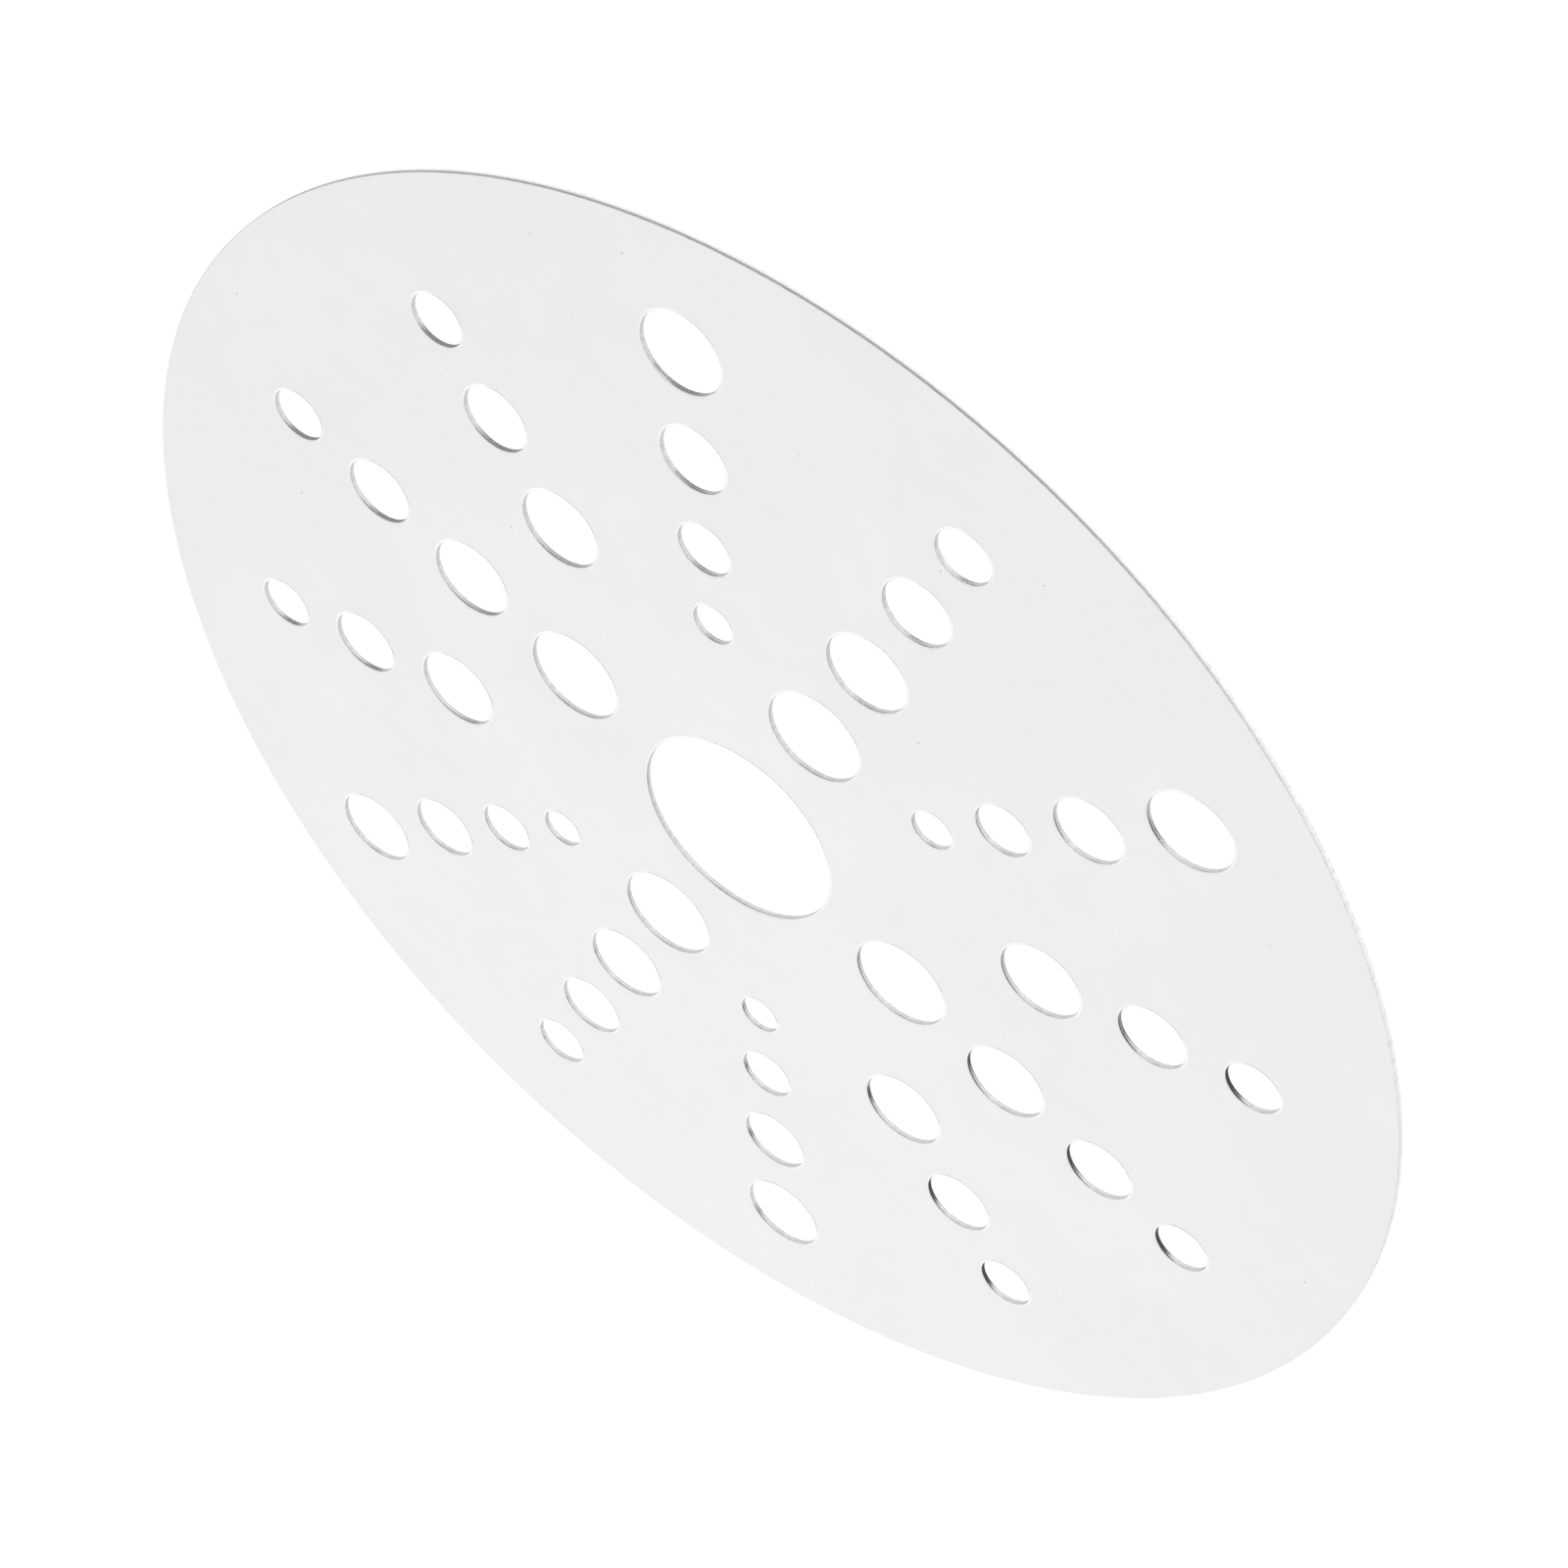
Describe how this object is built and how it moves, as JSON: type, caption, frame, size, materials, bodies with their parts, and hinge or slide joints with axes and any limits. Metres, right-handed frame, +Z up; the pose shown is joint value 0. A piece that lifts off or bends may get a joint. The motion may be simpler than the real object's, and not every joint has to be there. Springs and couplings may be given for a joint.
{
  "type": "circle template",
  "caption": "Flat round drawing template of thin stainless steel sheet, with a large centre hole and rays of circular tracing holes that grow or shrink towards the rim.",
  "frame": {"origin": "centre of the underside, on the axis of the centre hole", "axes": "+Z is up through the plate's thickness; +X runs along a ray of holes that shrinks towards the rim; +Y runs along the same kind of ray, a quarter turn on"},
  "size_m": [0.1, 0.1, 0.0004],
  "materials": {
    "satin_steel": "pale satin sheet, fine even grain, bright cut walls"
  },
  "bodies": {
    "root": {"template_plate": "satin_steel"}
  },
  "joints": []
}
